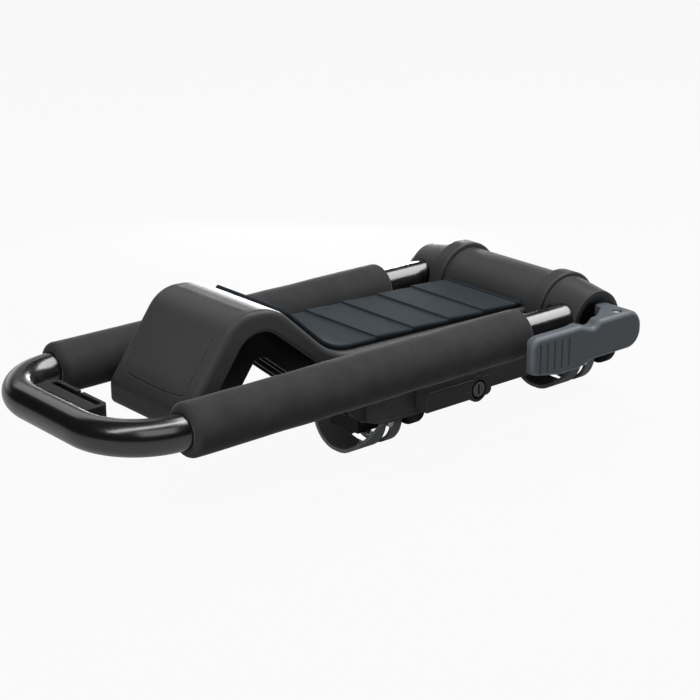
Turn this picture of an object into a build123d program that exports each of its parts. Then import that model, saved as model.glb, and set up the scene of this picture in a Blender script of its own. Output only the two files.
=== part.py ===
from build123d import *
from math import cos, radians, sin, tan
import os

# Folding J style kayak carrier, folded flat.
# Millimetres. The origin lies on the load bar's top, half way between the two clamp straps.
# +X is the side with the cam lever, +Y runs along the bar to the hinge, +Z is up.

# Clearances
SEAT_GAP = 0.1        # pieces that sit in one another and stay there
RUNNING_GAP = 0.05    # radial, on surfaces that turn in one another
MOVING_GAP = 0.4      # between faces of pieces that move apart
SOFT_GAP = 0.3        # round foam and rubber
PAST = 1.0            # how far cutters run past the faces that they open

# Clamp straps, saddles and hook bolts
STRAP_SPACING = 220.0
STRAP_WIDTH = 43.0
STRAP_GAP = 2.0             # between a hook bolt and the loop's near side
STRAP_DROP = 17.0           # outer bottom of the loop below the bar's top
STRAP_THICK = 3.0
STRAP_CORNER = 26.0
STRAP_NECK = 19.0           # width of the near tongue
STRAP_TONGUE = 30.0         # width of the far tongue
STRAP_SLOT = 10.0
SADDLE_WIDTH = 32.0
SADDLE_SETBACK = 9.5        # from the foot's front face
WING_GAP = 7.0              # between a strap and the saddle's rear wing
WING_HALF = 39.5
WING_THICK = 6.5
WING_SIDE = 1.0             # upright side left above the wing's rounding
PIN_R = 2.5
HOOK_R = 3.0
HOOK_GAP = 1.0              # between a hook bolt and the saddle
HOOK_SET = 3.5              # from the near tongue's middle, towards the hump
HOOK_HEIGHT = 7.0           # of the hook's toe above the bar's top
HOOK_NUT_R = 7.0
HOOK_NUT_HEIGHT = 8.0

# Base moulding
BASE_WIDTH = 96.0
BASE_BOTTOM = 18.0
FOOT_LEAD = 23.0            # foot's front face ahead of its strap's middle
REAR_TAIL = 29.5            # base's rear end behind the rear strap's middle
FOOT_DEPTH = 58.0           # floor under each strap, along the bar
FOOT_CORNER = 16.0
FLOOR_THICK = 4.0
WALL = 3.2
RIB = 2.5
EDGE_R = 5.0
DECK_FRONT_Z = 82.8         # at the foot of the hump
DECK_FALL = 1.4             # degrees, towards the hinge
REAR_BLOCK = 34.0           # height of the block behind the barrel
SILL = 3.0                  # rise of the side walls' lower edge between the feet
RIM = 0.8                   # stand-out of the moulded rim round the feet
RIM_HEIGHT = 2.5

# Hump
LIP_BOTTOM = 53.0
LIP_TOP = 70.0
FRONT_SLOPE = 54.0          # degrees
REAR_SLOPE = 42.0
CREST_Z = 131.0
CREST_FRONT_R = 28.0
CREST_FLAT = 7.2            # between the crest's two roundings
CREST_REAR_R = 38.0
HUMP_SET = 38.6             # from the front foot to where the rear slope would meet the deck
DECK_BLEND_R = 50.0
BAND_DEPTH = 16.0           # of the side walls below the crest
BAND_BRACE = 19.0           # height of the side walls' brace where it meets the foot
BAND_ARCH_R = 22.0
BAND_ARCH_FLAT = 1.35       # between the arch's two roundings
BAND_EDGE_R = 2.5           # of the side walls' outer edge round the arch
WEB_DEPTH = 39.0            # the same for the webs inside
WEB_BRACE = 0.5
WEB_TOE = 3.0               # of the webs in front of the foot
WEB_ARCH_R = 8.0
WEB_ARCH_FLAT = 1.1
WEB_INNER_X = 15.0
WEB_SET = 13.0              # from the outer webs' middle to the base's side
BRACE_SLOPE = 38.5
LIP_LOW_R = 4.0
LIP_HIGH_R = 9.0
PANEL_WIDTH = 73.0
PANEL_LOW = 8.0             # of the badge panel's lower corners above the lip's top
PANEL_BOW = 2.5
PANEL_BOW_END = 11.5        # straight stretch at each end of the bow
PANEL_RUN = 46.0
PANEL_CORNER = 6.0
PANEL_GROOVE = 1.2

# Deck pad
PAD_MARGIN = 6.0            # between the pad's side and the base's
PAD_THICK = 4.2
PAD_CLIMB = 43.5            # pad's front edge ahead of the rear slope's foot
PAD_FLAT = 43.1             # from the slope's foot to the first step
PAD_PITCH = 37.0
PAD_RISE = 1.5
PAD_CORNER = 4.0            # of the front edge's two ends

# Hinge
HINGE_SET = 54.5            # hinge axis ahead of the rear strap's middle
HINGE_Z = 71.0
BARREL_R = 30.0
BARREL_STAND = 1.5          # of the barrel's ends beyond the base's sides
COLLAR_R = 34.0
COLLAR_WIDTH = 13.7
COLLAR_CHAMFER = 1.2
SPIGOT_R = 16.0
COLLAR_SLEEVE = 4.0         # wall of the collar's sleeve in the barrel
COLLAR_SEAT_DEPTH = 10.0
DISC_SET = 2.0              # of the disc's hole from the spigot
DISC_RIM = 5.0              # of the disc's edge from the collar's
DISC_THICK = 2.5
KNUCKLE_R = 31.0
KNUCKLE_TAPER = 0.165       # loss of radius for each millimetre outwards
HOOD_REACH = 31.4           # from the knuckle's inner face to the hood's rim
HOOD_DEPTH = 6.0
HOOD_WALL = 3.5
HOOD_BEVEL = 1.5
HOOD_SHOULDER = 3.72        # width of the ledge inside the rim
DOME_REACH = 21.4           # from the knuckle's inner face to the rod's blind end
DOME_LENGTH = 19.5
DOME_R = 14.0
ROD_R = 4.0
INSERT_R = 8.0
INSERT_LENGTH = 18.0
SPRING_R = 10.0
SPRING_THICK = 1.2
SPRING_RISE = 0.8
SPRING_COUNT = 3
THRUST_THICK = 3.2

# Arm
ARM_RISE = 4.0              # of the arm's plane above the hinge axis
LEG_INSET = 16.6            # of a leg's middle from the knuckle's inner face
TUBE_R = 12.7
TUBE_WALL = 2.0
ARM_OVERHANG = 73.7         # of the crossbar's middle in front of the hump's lip
BEND_R = 48.0
LEG_GAP = 0.9               # between a leg's end and the hood's well
FOAM_R = 19.3
FOAM_END = 72.5             # foam's rear end ahead of the hinge axis
FOAM_ROUND = 5.0
ARCH_GAP = 2.8              # shadow gap round each leg where it enters its knuckle
ARCH_SET = 6.5              # length of leg held behind the shadow gap
LEG_SCREW_SET = 3.5         # of the screw from the leg's end
LEG_SCREW_R = 2.5

# Strap guide on the crossbar
GUIDE_PAST = 0.3            # of the guide's ends beyond the crossbar's straight part
GUIDE_FRONT = 6.7           # overlap on the tube, forward of the slot's front wall
GUIDE_REACH = 10.0          # behind the crossbar
GUIDE_TOP = 12.0            # above the arm's plane
GUIDE_SLOT = 5.0
GUIDE_END = 4.0             # wall at each end of the slot
GUIDE_REAR_WALL = 3.0
GUIDE_CORNER = 5.5
GUIDE_GAP = 4.0             # in the rear wall
RIVET_X = 18.0
RIVET_R = 2.0
RIVET_HEAD_R = 3.5
RIVET_HEAD = 1.2

# Cam lever
LEVER_REACH = 20.0          # of the pin outside the hood's rim
LEVER_PIN_R = 4.0
LEVER_COVER = 8.5           # of the lever outside the pin's middle
LEVER_TOP = 15.0            # above the hinge axis
LEVER_BOTTOM = 15.5         # below the hinge axis
LEVER_REAR = 21.0           # behind the pin
LEVER_LENGTH = 101.0        # from the pin to the tip
LEVER_REAR_R = 14.0         # of the rear end's corners, seen from the side
LEVER_ROUND = 4.0           # of the outer face's edge
LEVER_FLOOR = 3.0           # left under the pin's bore
LEVER_PIN_SINK = 1.5        # of the pin's top below the lever's
PADDLE_START = 48.0         # from the pin
PADDLE_DEEP = 70.0          # from the pin to the paddle's lowest place
PADDLE_DROP = 4.0           # of that place below the shank's lower edge
PADDLE_TIP_RISE = 6.0       # of the lower edge from there to the tip
PADDLE_THICK = 8.0
PADDLE_R = 8.0
NECK_START = 33.0
NECK_LENGTH = 12.0
NECK_THICK = 10.5
NECK_DIP = 5.0
NECK_R = 6.0
SHANK_R = 20.0
NOSE_SET = 0.5              # of the cam's front corner, forward of the pin
NOSE_R = 1.0
CHEEK_RUN = 8.9             # from the cam's flat to the head's slanted cheek
CHEEK_SET = 3.0
CHEEK_R = 8.0
CAM_FLAT = 1.0              # length of the cam's flat, with its nose
EYE_R = 6.5
EYE_THICK = 8.0
GRIP_COUNT = 5
GRIP_PITCH = 7.7
GRIP_WIDTH = 1.8
GRIP_DEPTH = 0.8
GRIP_START = 7.5            # first groove, from the tip
GRIP_MARGIN = 6.0           # left clear above and below the grooves

# Lock
LOCK_SETBACK = 40.5         # from the front foot's face
LOCK_LENGTH = 69.0
LOCK_RISE = 3.5             # above the base's bottom
LOCK_HEIGHT = 16.0
LOCK_PROUD = 12.5
LOCK_KEY = 54.5             # from the box's front to the key cylinder's middle
LOCK_KEY_RISE = 7.0
LOCK_CORNER = 5.0
LOCK_BEVEL = 1.0
LOCK_BOSS_R = 10.5
LOCK_R = 6.2
LOCK_RING = 1.6             # width of the dark ring sunk round the cylinder
LOCK_TAIL_R = 3.5
KEYWAY = 1.6
KEYWAY_HEIGHT = 8.0
KEYWAY_DEPTH = 5.0
TONGUE_LENGTH = 14.0
TONGUE_WIDTH = 7.0
TONGUE_THICK = 2.5
LOCK_SCREW_R = 2.0
LOCK_SCREW_SETS = (8.5, 34.5)   # from the box's front

# Places that follow from the sizes
HALF = BASE_WIDTH / 2
FOOT_SHIFTS = (-STRAP_SPACING / 2, STRAP_SPACING / 2)
FOOT_FRONT = FOOT_SHIFTS[0] - FOOT_LEAD
BASE_REAR = FOOT_SHIFTS[1] + REAR_TAIL
BASE_FLOOR = BASE_BOTTOM + FLOOR_THICK
HOOK_X = SADDLE_WIDTH / 2 + HOOK_GAP + HOOK_R
STRAP_HALF = HOOK_X + HOOK_R + STRAP_GAP + STRAP_THICK
HUMP_REAR_Y = FOOT_FRONT - HUMP_SET
CREST_REAR_Y = HUMP_REAR_Y - (CREST_Z - DECK_FRONT_Z) / tan(radians(REAR_SLOPE))
CREST_LENGTH = (
    CREST_FRONT_R * tan(radians(FRONT_SLOPE / 2)) + CREST_FLAT + CREST_REAR_R * tan(radians(REAR_SLOPE / 2))
)
CREST_FRONT_Y = CREST_REAR_Y - CREST_LENGTH
LIP_Y = CREST_FRONT_Y - (CREST_Z - LIP_TOP) / tan(radians(FRONT_SLOPE))
HINGE_Y = FOOT_SHIFTS[1] - HINGE_SET
BARREL_HALF = HALF + BARREL_STAND
KNUCKLE_X = BARREL_HALF + COLLAR_WIDTH + MOVING_GAP
COLLAR_SEAT_R = SPIGOT_R + COLLAR_SLEEVE
DISC_INNER_R = SPIGOT_R + DISC_SET
DISC_OUTER_R = COLLAR_R - DISC_RIM
HOOD_X = KNUCKLE_X + HOOD_REACH
HOOD_RIM_R = KNUCKLE_R - KNUCKLE_TAPER * HOOD_REACH
HOOD_WELL_R = HOOD_RIM_R - HOOD_WALL - HOOD_SHOULDER
DOME_X = KNUCKLE_X + DOME_REACH
ARM_Z = HINGE_Z + ARM_RISE
LEG_X = KNUCKLE_X + LEG_INSET
CROSSBAR_Y = LIP_Y - ARM_OVERHANG
LEG_END_Y = HINGE_Y - HOOD_WELL_R - LEG_GAP
LEG_SCREW_Y = LEG_END_Y - LEG_SCREW_SET
FOAM_FRONT_Y = CROSSBAR_Y + BEND_R
FOAM_REAR_Y = HINGE_Y - FOAM_END
GUIDE_HALF = LEG_X - BEND_R + GUIDE_PAST
GUIDE_REAR_Y = CROSSBAR_Y + TUBE_R + GUIDE_REACH
LEVER_PIN_X = HOOD_X + LEVER_REACH
LEVER_OUTER_X = LEVER_PIN_X + LEVER_COVER
LOCK_FRONT_Y = FOOT_FRONT + LOCK_SETBACK
LOCK_Y = LOCK_FRONT_Y + LOCK_KEY
LOCK_LOW = BASE_BOTTOM + LOCK_RISE
LOCK_Z = LOCK_LOW + LOCK_KEY_RISE


def polygon(points, radii=None):
    """Closed face through the points, with a radius at each corner where radii are given."""
    if radii is None:
        return make_face(Polyline(*points, close=True))
    return make_face(FilletPolyline(*points, radius=radii, close=True))


def rounded(outline):
    """Closed face from a list of (corner, radius) pairs."""
    return polygon([point for point, _ in outline], [radius for _, radius in outline])


def along_x(face, low, high):
    """Prism of a (y, z) face from x = low to x = high."""
    return Pos(low, 0, 0) * extrude(Plane.YZ * face, high - low)


def along_y(face, low, high):
    """Prism of an (x, z) face from y = low to y = high."""
    return Pos(0, high, 0) * extrude(Plane.XZ * face, high - low)


def along_z(face, low, high):
    """Prism of an (x, y) face from z = low to z = high."""
    return Pos(0, 0, low) * extrude(face, high - low)


def block(low, high):
    """Box between two corners."""
    size = [b - a for a, b in zip(low, high)]
    return Pos(*low) * Box(*size, align=(Align.MIN, Align.MIN, Align.MIN))


def rod_x(radius, y, z, low, high):
    return along_x(Pos(y, z) * Circle(radius), low, high)


def rod_y(radius, x, z, low, high):
    return along_y(Pos(x, z) * Circle(radius), low, high)


def rod_z(radius, x, y, low, high):
    return along_z(Pos(x, y) * Circle(radius), low, high)


def on_hinge(points):
    """Turned piece on the hinge axis, from (x, radius) points."""
    return Pos(0, HINGE_Y, HINGE_Z) * revolve(polygon(points), Axis.X)


def deck_z(y):
    return DECK_FRONT_Z - tan(radians(DECK_FALL)) * (y - HUMP_REAR_Y)


def front_slope_y(z):
    return LIP_Y + (z - LIP_TOP) / tan(radians(FRONT_SLOPE))


def rear_slope_z(y):
    return DECK_FRONT_Z + tan(radians(REAR_SLOPE)) * (HUMP_REAR_Y - y)


def arch_rear_y(depth, brace, toe=0.0):
    """Where the brace's line, rising forwards from the foot, meets the arch's top."""
    rise = CREST_Z - depth - BASE_BOTTOM - brace
    return FOOT_FRONT - toe - rise / tan(radians(BRACE_SLOPE))


def arch_length(arch_r, flat):
    """Length of the arch's top, from the brace's line to the leg's."""
    return flat + arch_r * (tan(radians(BRACE_SLOPE / 2)) + tan(radians(FRONT_SLOPE / 2)))


def base_profile(depth, brace, arch_r, flat, toe=0.0):
    """Side view of the base: lip, front slope, crest, rear slope, deck, feet, brace and arch."""
    arch_top = CREST_Z - depth
    foot = FOOT_FRONT - toe
    rear_y = arch_rear_y(depth, brace, toe)
    front_y = rear_y - arch_length(arch_r, flat)
    leg_y = front_y - (arch_top - LIP_BOTTOM) / tan(radians(FRONT_SLOPE))
    block_top = BASE_BOTTOM + REAR_BLOCK
    outline = [
        ((LIP_Y, LIP_BOTTOM), LIP_LOW_R),
        ((LIP_Y, LIP_TOP), LIP_HIGH_R),
        ((CREST_FRONT_Y, CREST_Z), CREST_FRONT_R),
        ((CREST_REAR_Y, CREST_Z), CREST_REAR_R),
        ((HUMP_REAR_Y, DECK_FRONT_Z), DECK_BLEND_R),
        ((HINGE_Y, deck_z(HINGE_Y)), 0.0),
        ((HINGE_Y + BARREL_R, block_top), 0.0),
        ((BASE_REAR, block_top), FOOT_CORNER),
        ((BASE_REAR, BASE_BOTTOM), 0.0),
        ((foot, BASE_BOTTOM), 0.0),
        ((foot, BASE_BOTTOM + brace), 0.0),
        ((rear_y, arch_top), arch_r),
        ((front_y, arch_top), arch_r),
        ((leg_y, LIP_BOTTOM), 0.0),
    ]
    return rounded(outline)


def band_profile():
    """Side view of the outer walls."""
    return base_profile(BAND_DEPTH, BAND_BRACE, BAND_ARCH_R, BAND_ARCH_FLAT)


def web_profile():
    """Side view of the deeper webs inside the hump."""
    return base_profile(WEB_DEPTH, WEB_BRACE, WEB_ARCH_R, WEB_ARCH_FLAT, WEB_TOE)


def strap_passage(shift):
    """Slots and holes that a strap and its hook bolt need in the foot's floor."""
    near_low, near_high = near_tongue(shift)
    far_low, far_high = far_tongue(shift)
    outer = STRAP_HALF + MOVING_GAP
    inner = STRAP_HALF - STRAP_THICK - MOVING_GAP
    top = BASE_FLOOR
    near = block((inner, near_low - MOVING_GAP, BASE_BOTTOM), (outer, near_high + MOVING_GAP, top))
    far = block((-outer, far_low - MOVING_GAP, BASE_BOTTOM), (-inner, far_high + MOVING_GAP, top))
    return near + far + rod_z(HOOK_R + SEAT_GAP, HOOK_X, hook_y(shift), BASE_BOTTOM, top)


def near_tongue(shift):
    high = shift + STRAP_WIDTH / 2
    return high - STRAP_NECK, high


def far_tongue(shift):
    return shift - STRAP_TONGUE / 2, shift + STRAP_TONGUE / 2


def hook_y(shift):
    low, high = near_tongue(shift)
    return (low + high) / 2 - HOOK_SET


def strap_pin_place():
    """x and z of the pin that a strap's far end hangs on."""
    return -STRAP_HALF + STRAP_THICK / 2, BASE_FLOOR + 2 * STRAP_THICK + PIN_R


def foot_floor(shift):
    """Floor of a foot with the two lugs that carry the strap's pin."""
    front = shift - FOOT_LEAD
    floor = block((-HALF, front, BASE_BOTTOM), (HALF, front + FOOT_DEPTH, BASE_FLOOR))
    pin_x, pin_z = strap_pin_place()
    low, high = far_tongue(shift)
    reach = PIN_R + WALL
    for start in (low - MOVING_GAP - WALL, high + MOVING_GAP):
        floor += block(
            (pin_x - reach, start, BASE_BOTTOM), (pin_x + reach, start + WALL, pin_z + reach)
        )
    pin_hole = rod_y(PIN_R + SEAT_GAP, pin_x, pin_z, low - 2 * WALL, high + 2 * WALL)
    return floor - pin_hole


def base_cavity(profile):
    """Inside of the base: the profile one wall in, open along the whole underside."""
    inner = offset(profile, -WALL, kind=Kind.INTERSECTION)
    opened = Pos(0, -2 * WALL) * inner
    width = HALF - WALL
    cavity = along_x(inner, -width, width) + along_x(opened, -width, width)
    for side in (-1, 1):
        for low, high in ((FOOT_FRONT, FOOT_FRONT + FOOT_CORNER), (BASE_REAR - FOOT_CORNER, BASE_REAR)):
            inside, outside = sorted((side * (HALF - FOOT_CORNER), side * HALF))
            cavity -= block((inside, low, 0), (outside, high, BASE_BOTTOM + BAND_BRACE + WALL))
    return cavity


def base_ribs(inner):
    """Webs along the inside of the hump, and cross walls at the feet's inner ends."""
    web = web_profile()
    webs = along_x(web, WEB_INNER_X - RIB / 2, WEB_INNER_X + RIB / 2)
    webs += along_x(web, HALF - WEB_SET - RIB / 2, HALF - WEB_SET + RIB / 2)
    webs &= block((0, LIP_Y, 0), (HALF, FOOT_FRONT + WALL / 2, CREST_Z))
    ribs = webs + mirror(webs, Plane.YZ)
    cross = along_x(inner, -HALF + WALL / 2, HALF - WALL / 2)
    for y in (FOOT_FRONT + FOOT_DEPTH, BASE_REAR - FOOT_DEPTH):
        ribs += cross & block((-HALF, y, BASE_BOTTOM), (HALF, y + RIB, CREST_Z))
    return ribs


def badge_panel():
    """Shallow groove down the sides and along the bowed bottom of the hump's bare front panel."""
    half = PANEL_WIDTH / 2
    low = PANEL_LOW / sin(radians(FRONT_SLOPE))
    high = low + PANEL_RUN
    bow_r = (half - PANEL_BOW_END) * half / PANEL_BOW
    edges = FilletPolyline(
        (-half, high), (-half, low), (0, low - PANEL_BOW), (half, low), (half, high),
        radius=[PANEL_CORNER, bow_r, PANEL_CORNER],
    )
    inside = half - PANEL_GROOVE
    base = low + PANEL_GROOVE
    inner = FilletPolyline(
        (inside, high), (inside, base), (0, base - PANEL_BOW), (-inside, base), (-inside, high),
        radius=[PANEL_CORNER - PANEL_GROOVE, bow_r * (inside / half) ** 2, PANEL_CORNER - PANEL_GROOVE],
    )
    ends = [Line((half, high), (inside, high)), Line((-inside, high), (-half, high))]
    groove = make_face(edges.edges() + inner.edges() + ends)
    slope = Plane(
        origin=(0, LIP_Y, LIP_TOP),
        x_dir=(1, 0, 0),
        z_dir=(0, -sin(radians(FRONT_SLOPE)), cos(radians(FRONT_SLOPE))),
    )
    return extrude(slope * groove, PANEL_GROOVE / 2, both=True)


def feet_rims():
    """Moulded rim that stands out round the bottom of each foot."""
    plan = foot_plan()
    ring = offset(plan, RIM) - offset(plan, -WALL)
    rim = along_z(ring, BASE_BOTTOM, BASE_BOTTOM + RIM_HEIGHT)
    reach = HALF + RIM
    middle = block(
        (-reach, FOOT_FRONT + FOOT_DEPTH, BASE_BOTTOM), (reach, BASE_REAR - FOOT_DEPTH, HINGE_Z)
    )
    return rim - middle


def between_feet():
    """What is cut away under the side walls between the feet."""
    return block(
        (-HALF, FOOT_FRONT + FOOT_DEPTH, BASE_BOTTOM),
        (HALF, BASE_REAR - FOOT_DEPTH, BASE_BOTTOM + SILL),
    )


def make_base_body():
    profile = band_profile()
    shell = along_x(profile, -HALF, HALF)
    top = [
        edge for edge in shell.edges()
        if abs(abs(edge.center().X) - HALF) < 0.01 and is_top_edge(edge)
    ]
    shell = fillet(top, EDGE_R)
    shell = fillet([edge for edge in shell.edges() if is_arch_edge(edge)], BAND_EDGE_R) - foot_corners()
    barrel = rod_x(BARREL_R, HINGE_Y, HINGE_Z, -BARREL_HALF, BARREL_HALF)
    inner = offset(profile, -WALL / 2, kind=Kind.INTERSECTION)
    body = shell - base_cavity(profile) + base_ribs(inner) + barrel - between_feet() + feet_rims()
    for shift in FOOT_SHIFTS:
        body += foot_floor(shift) & along_z(foot_plan(), BASE_BOTTOM, CREST_Z)
    for shift in FOOT_SHIFTS:
        body -= strap_passage(shift)
    body -= rod_x(ROD_R + MOVING_GAP, HINGE_Y, HINGE_Z, -BARREL_HALF, BARREL_HALF)
    seat = COLLAR_SEAT_R + SEAT_GAP
    start = BARREL_HALF - COLLAR_SEAT_DEPTH - SEAT_GAP
    for low, high in ((-BARREL_HALF, -start), (start, BARREL_HALF)):
        body -= rod_x(seat, HINGE_Y, HINGE_Z, low, high)
    body -= lock_passage()
    return body - badge_panel()


def foot_corners():
    """What is cut away to round the feet's upright corners."""
    plan = foot_plan()
    top = BASE_BOTTOM + BAND_BRACE
    outside = along_z(offset(plan, FOOT_CORNER, kind=Kind.INTERSECTION) - plan, BASE_BOTTOM, top)
    return outside & block((-HALF, FOOT_FRONT, BASE_BOTTOM), (HALF, BASE_REAR, top))


def foot_plan():
    """Plan of the base over the feet, with its rounded corners."""
    return polygon(
        [(-HALF, FOOT_FRONT), (HALF, FOOT_FRONT), (HALF, BASE_REAR), (-HALF, BASE_REAR)],
        FOOT_CORNER,
    )


def is_top_edge(edge):
    """True for the side edges of the lip, slopes, crest and deck."""
    middle = edge.center()
    above_arch = middle.Z > DECK_FRONT_Z - EDGE_R and middle.Y < HINGE_Y
    on_front = middle.Y < front_slope_y(middle.Z) + EDGE_R and middle.Z > LIP_BOTTOM + EDGE_R
    under_arch = middle.Y < FOOT_FRONT and middle.Z < arch_line_z(middle.Y) + EDGE_R
    return (above_arch and not under_arch) or on_front


def is_arch_edge(edge):
    """True for the side walls' outer edges along the brace and the arch."""
    middle = edge.center()
    on_side = abs(abs(middle.X) - HALF) < 0.01 and middle.Y < FOOT_FRONT - PAST
    return on_side and abs(middle.Z - arch_line_z(middle.Y)) < EDGE_R


def arch_line_z(y):
    """Height of the arch's underside over the straight lines of its outline."""
    top = CREST_Z - BAND_DEPTH
    rear_y = arch_rear_y(BAND_DEPTH, BAND_BRACE)
    front_y = rear_y - arch_length(BAND_ARCH_R, BAND_ARCH_FLAT)
    brace = top - (y - rear_y) * tan(radians(BRACE_SLOPE))
    leg = top - (front_y - y) * tan(radians(FRONT_SLOPE))
    return min(top, brace, leg)


def make_deck_pad():
    """Pad that climbs the hump's rear slope, then runs back in shallow steps."""
    rear = HINGE_Y - BARREL_R - SOFT_GAP
    slope = radians(REAR_SLOPE)
    front_y = HUMP_REAR_Y - PAD_CLIMB
    front = (front_y, rear_slope_z(front_y))
    first_step = HUMP_REAR_Y + PAD_FLAT
    steps = int((rear - PAD_RISE - first_step) / PAD_PITCH) + 1
    corner_y = HUMP_REAR_Y + PAD_THICK * tan((slope - radians(DECK_FALL)) / 2)
    outline = [
        (front, 0.0),
        ((HUMP_REAR_Y, DECK_FRONT_Z), DECK_BLEND_R),
        ((rear, deck_z(rear)), 0.0),
    ]
    stop = rear
    for step in reversed(range(steps)):
        start = first_step + step * PAD_PITCH
        stop_z = deck_z(stop) + PAD_THICK
        outline.append(((stop, stop_z), 0.0))
        outline.append(((start, deck_z(start) + PAD_THICK + PAD_RISE), 0.0))
        stop = start
    outline.append(((stop, deck_z(stop) + PAD_THICK), 0.0))
    outline.append(((corner_y, deck_z(corner_y) + PAD_THICK), DECK_BLEND_R - PAD_THICK))
    outline.append(((front_y + PAD_THICK * sin(slope), front[1] + PAD_THICK * cos(slope)), 0.0))
    half = HALF - PAD_MARGIN
    pad = along_x(rounded(outline), -half, half)
    ends = [
        edge for edge in pad.edges()
        if abs(edge.center().X) > half - PAD_CORNER and edge.center().Y < front_y + PAD_THICK
    ]
    return fillet(ends, PAD_CORNER)


def make_saddle(shift):
    """Rubber saddle under a foot: a narrow pad and a rounded wing behind the strap."""
    front = shift - FOOT_LEAD + SADDLE_SETBACK
    rear = shift + STRAP_WIDTH / 2 + WING_GAP
    pad = block((-SADDLE_WIDTH / 2, front, 0), (SADDLE_WIDTH / 2, rear, BASE_BOTTOM))
    outline = polygon(
        [(-WING_HALF, 0), (WING_HALF, 0), (WING_HALF, BASE_BOTTOM), (-WING_HALF, BASE_BOTTOM)],
        [BASE_BOTTOM - WING_SIDE, BASE_BOTTOM - WING_SIDE, 0.0, 0.0],
    )
    return pad + along_y(outline, rear, rear + WING_THICK)


def strap_loop(grow=0.0):
    """Outline of the loop in the (x, z) plane, moved inwards by grow."""
    half = STRAP_HALF - grow
    low = -STRAP_DROP + grow
    pin_z = strap_pin_place()[1]
    return polygon(
        [(-half, low), (half, low), (half, pin_z), (-half, pin_z)],
        [STRAP_CORNER - grow, STRAP_CORNER - grow, 0.0, 0.0],
    )


def make_strap(shift):
    """Band bent into a loop: wide below, a far tongue with a rolled eye, a slotted near tongue."""
    low, high = shift - STRAP_WIDTH / 2, shift + STRAP_WIDTH / 2
    band = along_y(strap_loop(), low, high) - along_y(strap_loop(STRAP_THICK), low, high)
    pin_x, pin_z = strap_pin_place()
    near_low, near_high = near_tongue(shift)
    far_low, far_high = far_tongue(shift)
    neck_z = BASE_BOTTOM / 2
    outer = STRAP_HALF + PAST
    near_end = BASE_BOTTOM + FLOOR_THICK / 2
    taper = polygon(
        [(low - PAST, -STRAP_DROP + STRAP_THICK), (low, -STRAP_DROP + STRAP_THICK),
         (near_low, neck_z), (near_low, pin_z + PAST), (low - PAST, pin_z + PAST)]
    )
    band -= along_x(taper, 0, outer)
    band -= block((0, low, near_end), (outer, high, pin_z + PAST))
    for start, stop in ((low, far_low), (far_high, high)):
        band -= block((-outer, start, neck_z + 2 * STRAP_THICK), (0, stop, pin_z + PAST))
    band -= block((-outer, low, pin_z - STRAP_THICK), (0, high, pin_z + PAST))
    band += rod_y(PIN_R + STRAP_THICK, pin_x, pin_z, far_low, far_high)
    band -= rod_y(PIN_R + SEAT_GAP, pin_x, pin_z, far_low, far_high)
    return band - strap_slot(shift)


def strap_slot(shift):
    """Long slot: along the loop's bottom, then up the near side to the hook's toe."""
    toe_r = HOOK_R + SEAT_GAP
    middle = hook_y(shift)
    bottom = block(
        (-STRAP_HALF / 2, middle - STRAP_SLOT / 2, -STRAP_DROP),
        (STRAP_HALF - STRAP_CORNER / 2, middle + STRAP_SLOT / 2, 0),
    )
    side = polygon(
        [(middle - STRAP_SLOT / 2, -STRAP_DROP), (middle + STRAP_SLOT / 2, -STRAP_DROP),
         (middle + toe_r, HOOK_HEIGHT), (middle - toe_r, HOOK_HEIGHT)]
    )
    tall = along_x(side, STRAP_HALF - STRAP_CORNER / 2, STRAP_HALF)
    toe = rod_x(toe_r, middle, HOOK_HEIGHT, STRAP_HALF - STRAP_CORNER / 2, STRAP_HALF)
    return bottom + tall + toe


def make_strap_pins():
    """Pins that the straps' far eyes hang on."""
    pin_x, pin_z = strap_pin_place()
    pins = []
    for shift in FOOT_SHIFTS:
        low, high = far_tongue(shift)
        reach = MOVING_GAP + WALL
        pins.append(rod_y(PIN_R, pin_x, pin_z, low - reach, high + reach))
    return pins


def make_hook_bolts():
    """Bolts whose toes pass through the straps' slots."""
    bolts = []
    for shift in FOOT_SHIFTS:
        y = hook_y(shift)
        shank = rod_z(HOOK_R, HOOK_X, y, HOOK_HEIGHT, BASE_FLOOR + 2 * HOOK_NUT_HEIGHT)
        bend = Pos(HOOK_X, y, HOOK_HEIGHT) * Sphere(HOOK_R)
        toe = rod_x(HOOK_R, y, HOOK_HEIGHT, HOOK_X, STRAP_HALF + HOOK_R / 2)
        bolts.append(shank + bend + toe)
    return bolts


def make_hook_nuts():
    """Nuts that pull the hook bolts up against the feet's floors."""
    nuts = []
    for shift in FOOT_SHIFTS:
        place = Pos(HOOK_X, hook_y(shift))
        face = place * RegularPolygon(HOOK_NUT_R, 6) - place * Circle(HOOK_R + SEAT_GAP)
        nuts.append(along_z(face, BASE_FLOOR, BASE_FLOOR + HOOK_NUT_HEIGHT))
    return nuts


def mirrored(make, side):
    """A piece made for +X, or its mirror image for -X."""
    return make if side > 0 else mirror(make, Plane.YZ)


def collar(side):
    """Ring on the barrel's end, with a spigot into the barrel and a seat for the friction disc."""
    low, high = BARREL_HALF, BARREL_HALF + COLLAR_WIDTH
    bevel = COLLAR_CHAMFER
    seat_x = high + MOVING_GAP / 2 - DISC_THICK
    ring = on_hinge([
        (low - COLLAR_SEAT_DEPTH, SPIGOT_R), (low - COLLAR_SEAT_DEPTH, COLLAR_SEAT_R),
        (low, COLLAR_SEAT_R), (low, COLLAR_R - bevel), (low + bevel, COLLAR_R),
        (high - bevel, COLLAR_R), (high, COLLAR_R - bevel), (high, DISC_OUTER_R + SEAT_GAP),
        (seat_x, DISC_OUTER_R + SEAT_GAP), (seat_x, DISC_INNER_R - SEAT_GAP),
        (high, DISC_INNER_R - SEAT_GAP), (high, SPIGOT_R),
    ])
    return mirrored(ring, side)


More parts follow.
